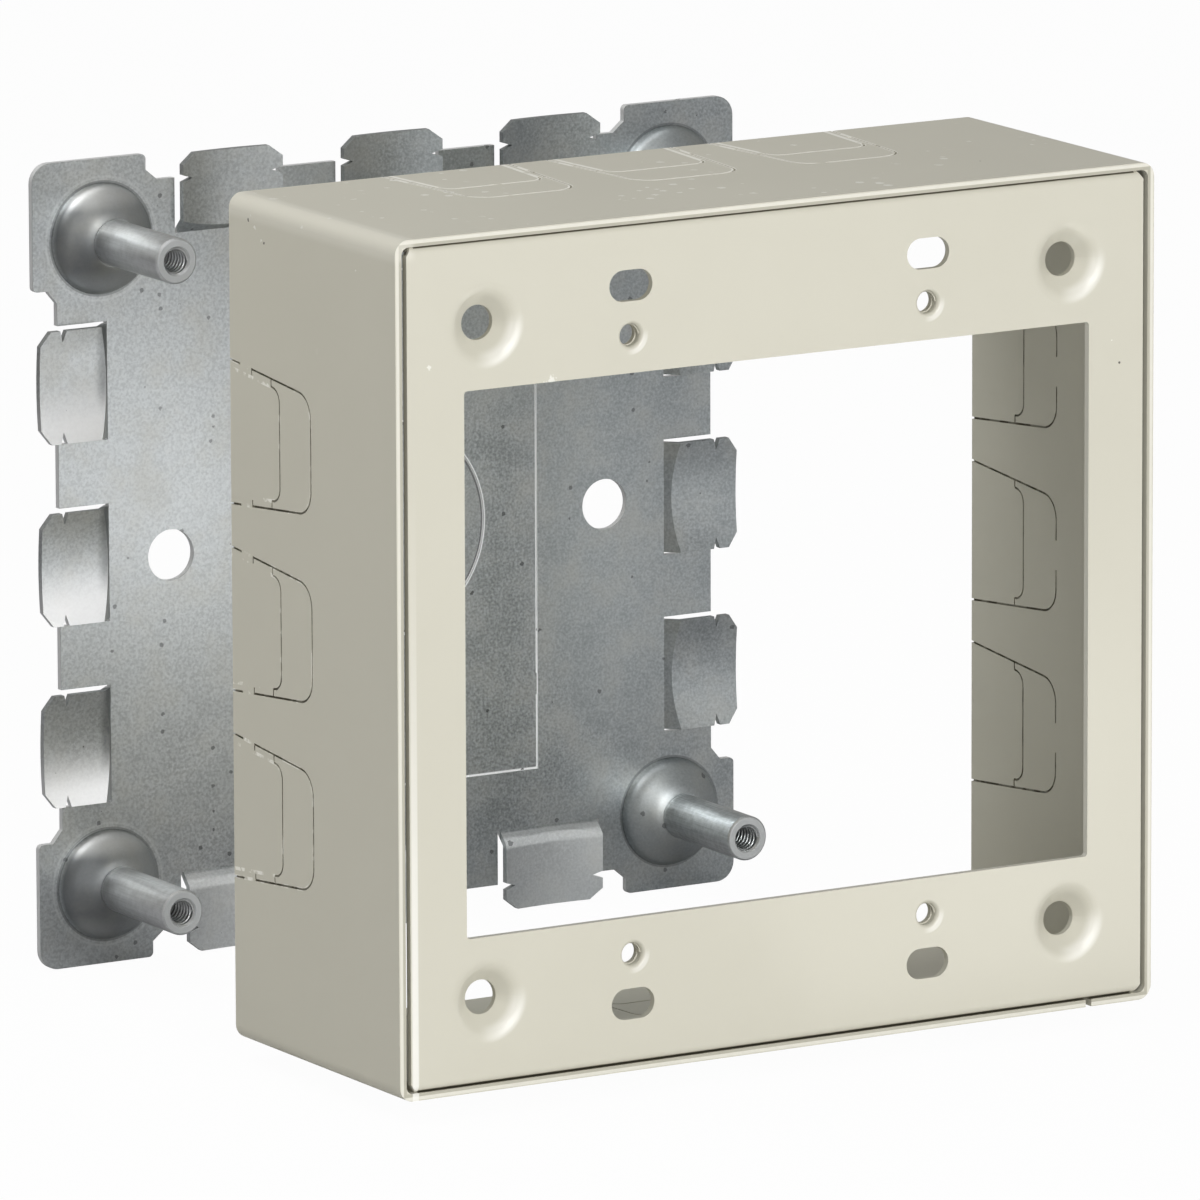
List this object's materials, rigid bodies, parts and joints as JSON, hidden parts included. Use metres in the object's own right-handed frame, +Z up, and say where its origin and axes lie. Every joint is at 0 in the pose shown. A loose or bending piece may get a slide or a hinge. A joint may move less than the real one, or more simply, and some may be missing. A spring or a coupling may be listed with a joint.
{
  "type": "raceway outlet box",
  "caption": "Sheet-metal surface raceway outlet box for wiring devices, its enamelled cover with window and side knockouts shown taken off a galvanised base plate with tapped posts.",
  "frame": {"origin": "middle of the base plate's wall face, on the wall", "axes": "+X to the right seen from the room, +Y into the wall, +Z up; the cover's front looks along -Y"},
  "size_m": [0.1174, 0.105, 0.1178],
  "materials": {
    "beige_enamel": "satin beige baked enamel on sheet steel",
    "galvanised_sheet": "galvanised sheet, dull and finely mottled",
    "zinc_plated_steel": "bright zinc plate over turned steel"
  },
  "bodies": {
    "root": {"side_band": "beige_enamel", "front_plate": "beige_enamel", "base_plate": "galvanised_sheet", "post_top_left": "zinc_plated_steel", "post_top_right": "zinc_plated_steel", "post_bottom_left": "zinc_plated_steel", "post_bottom_right": "zinc_plated_steel"}
  },
  "joints": []
}
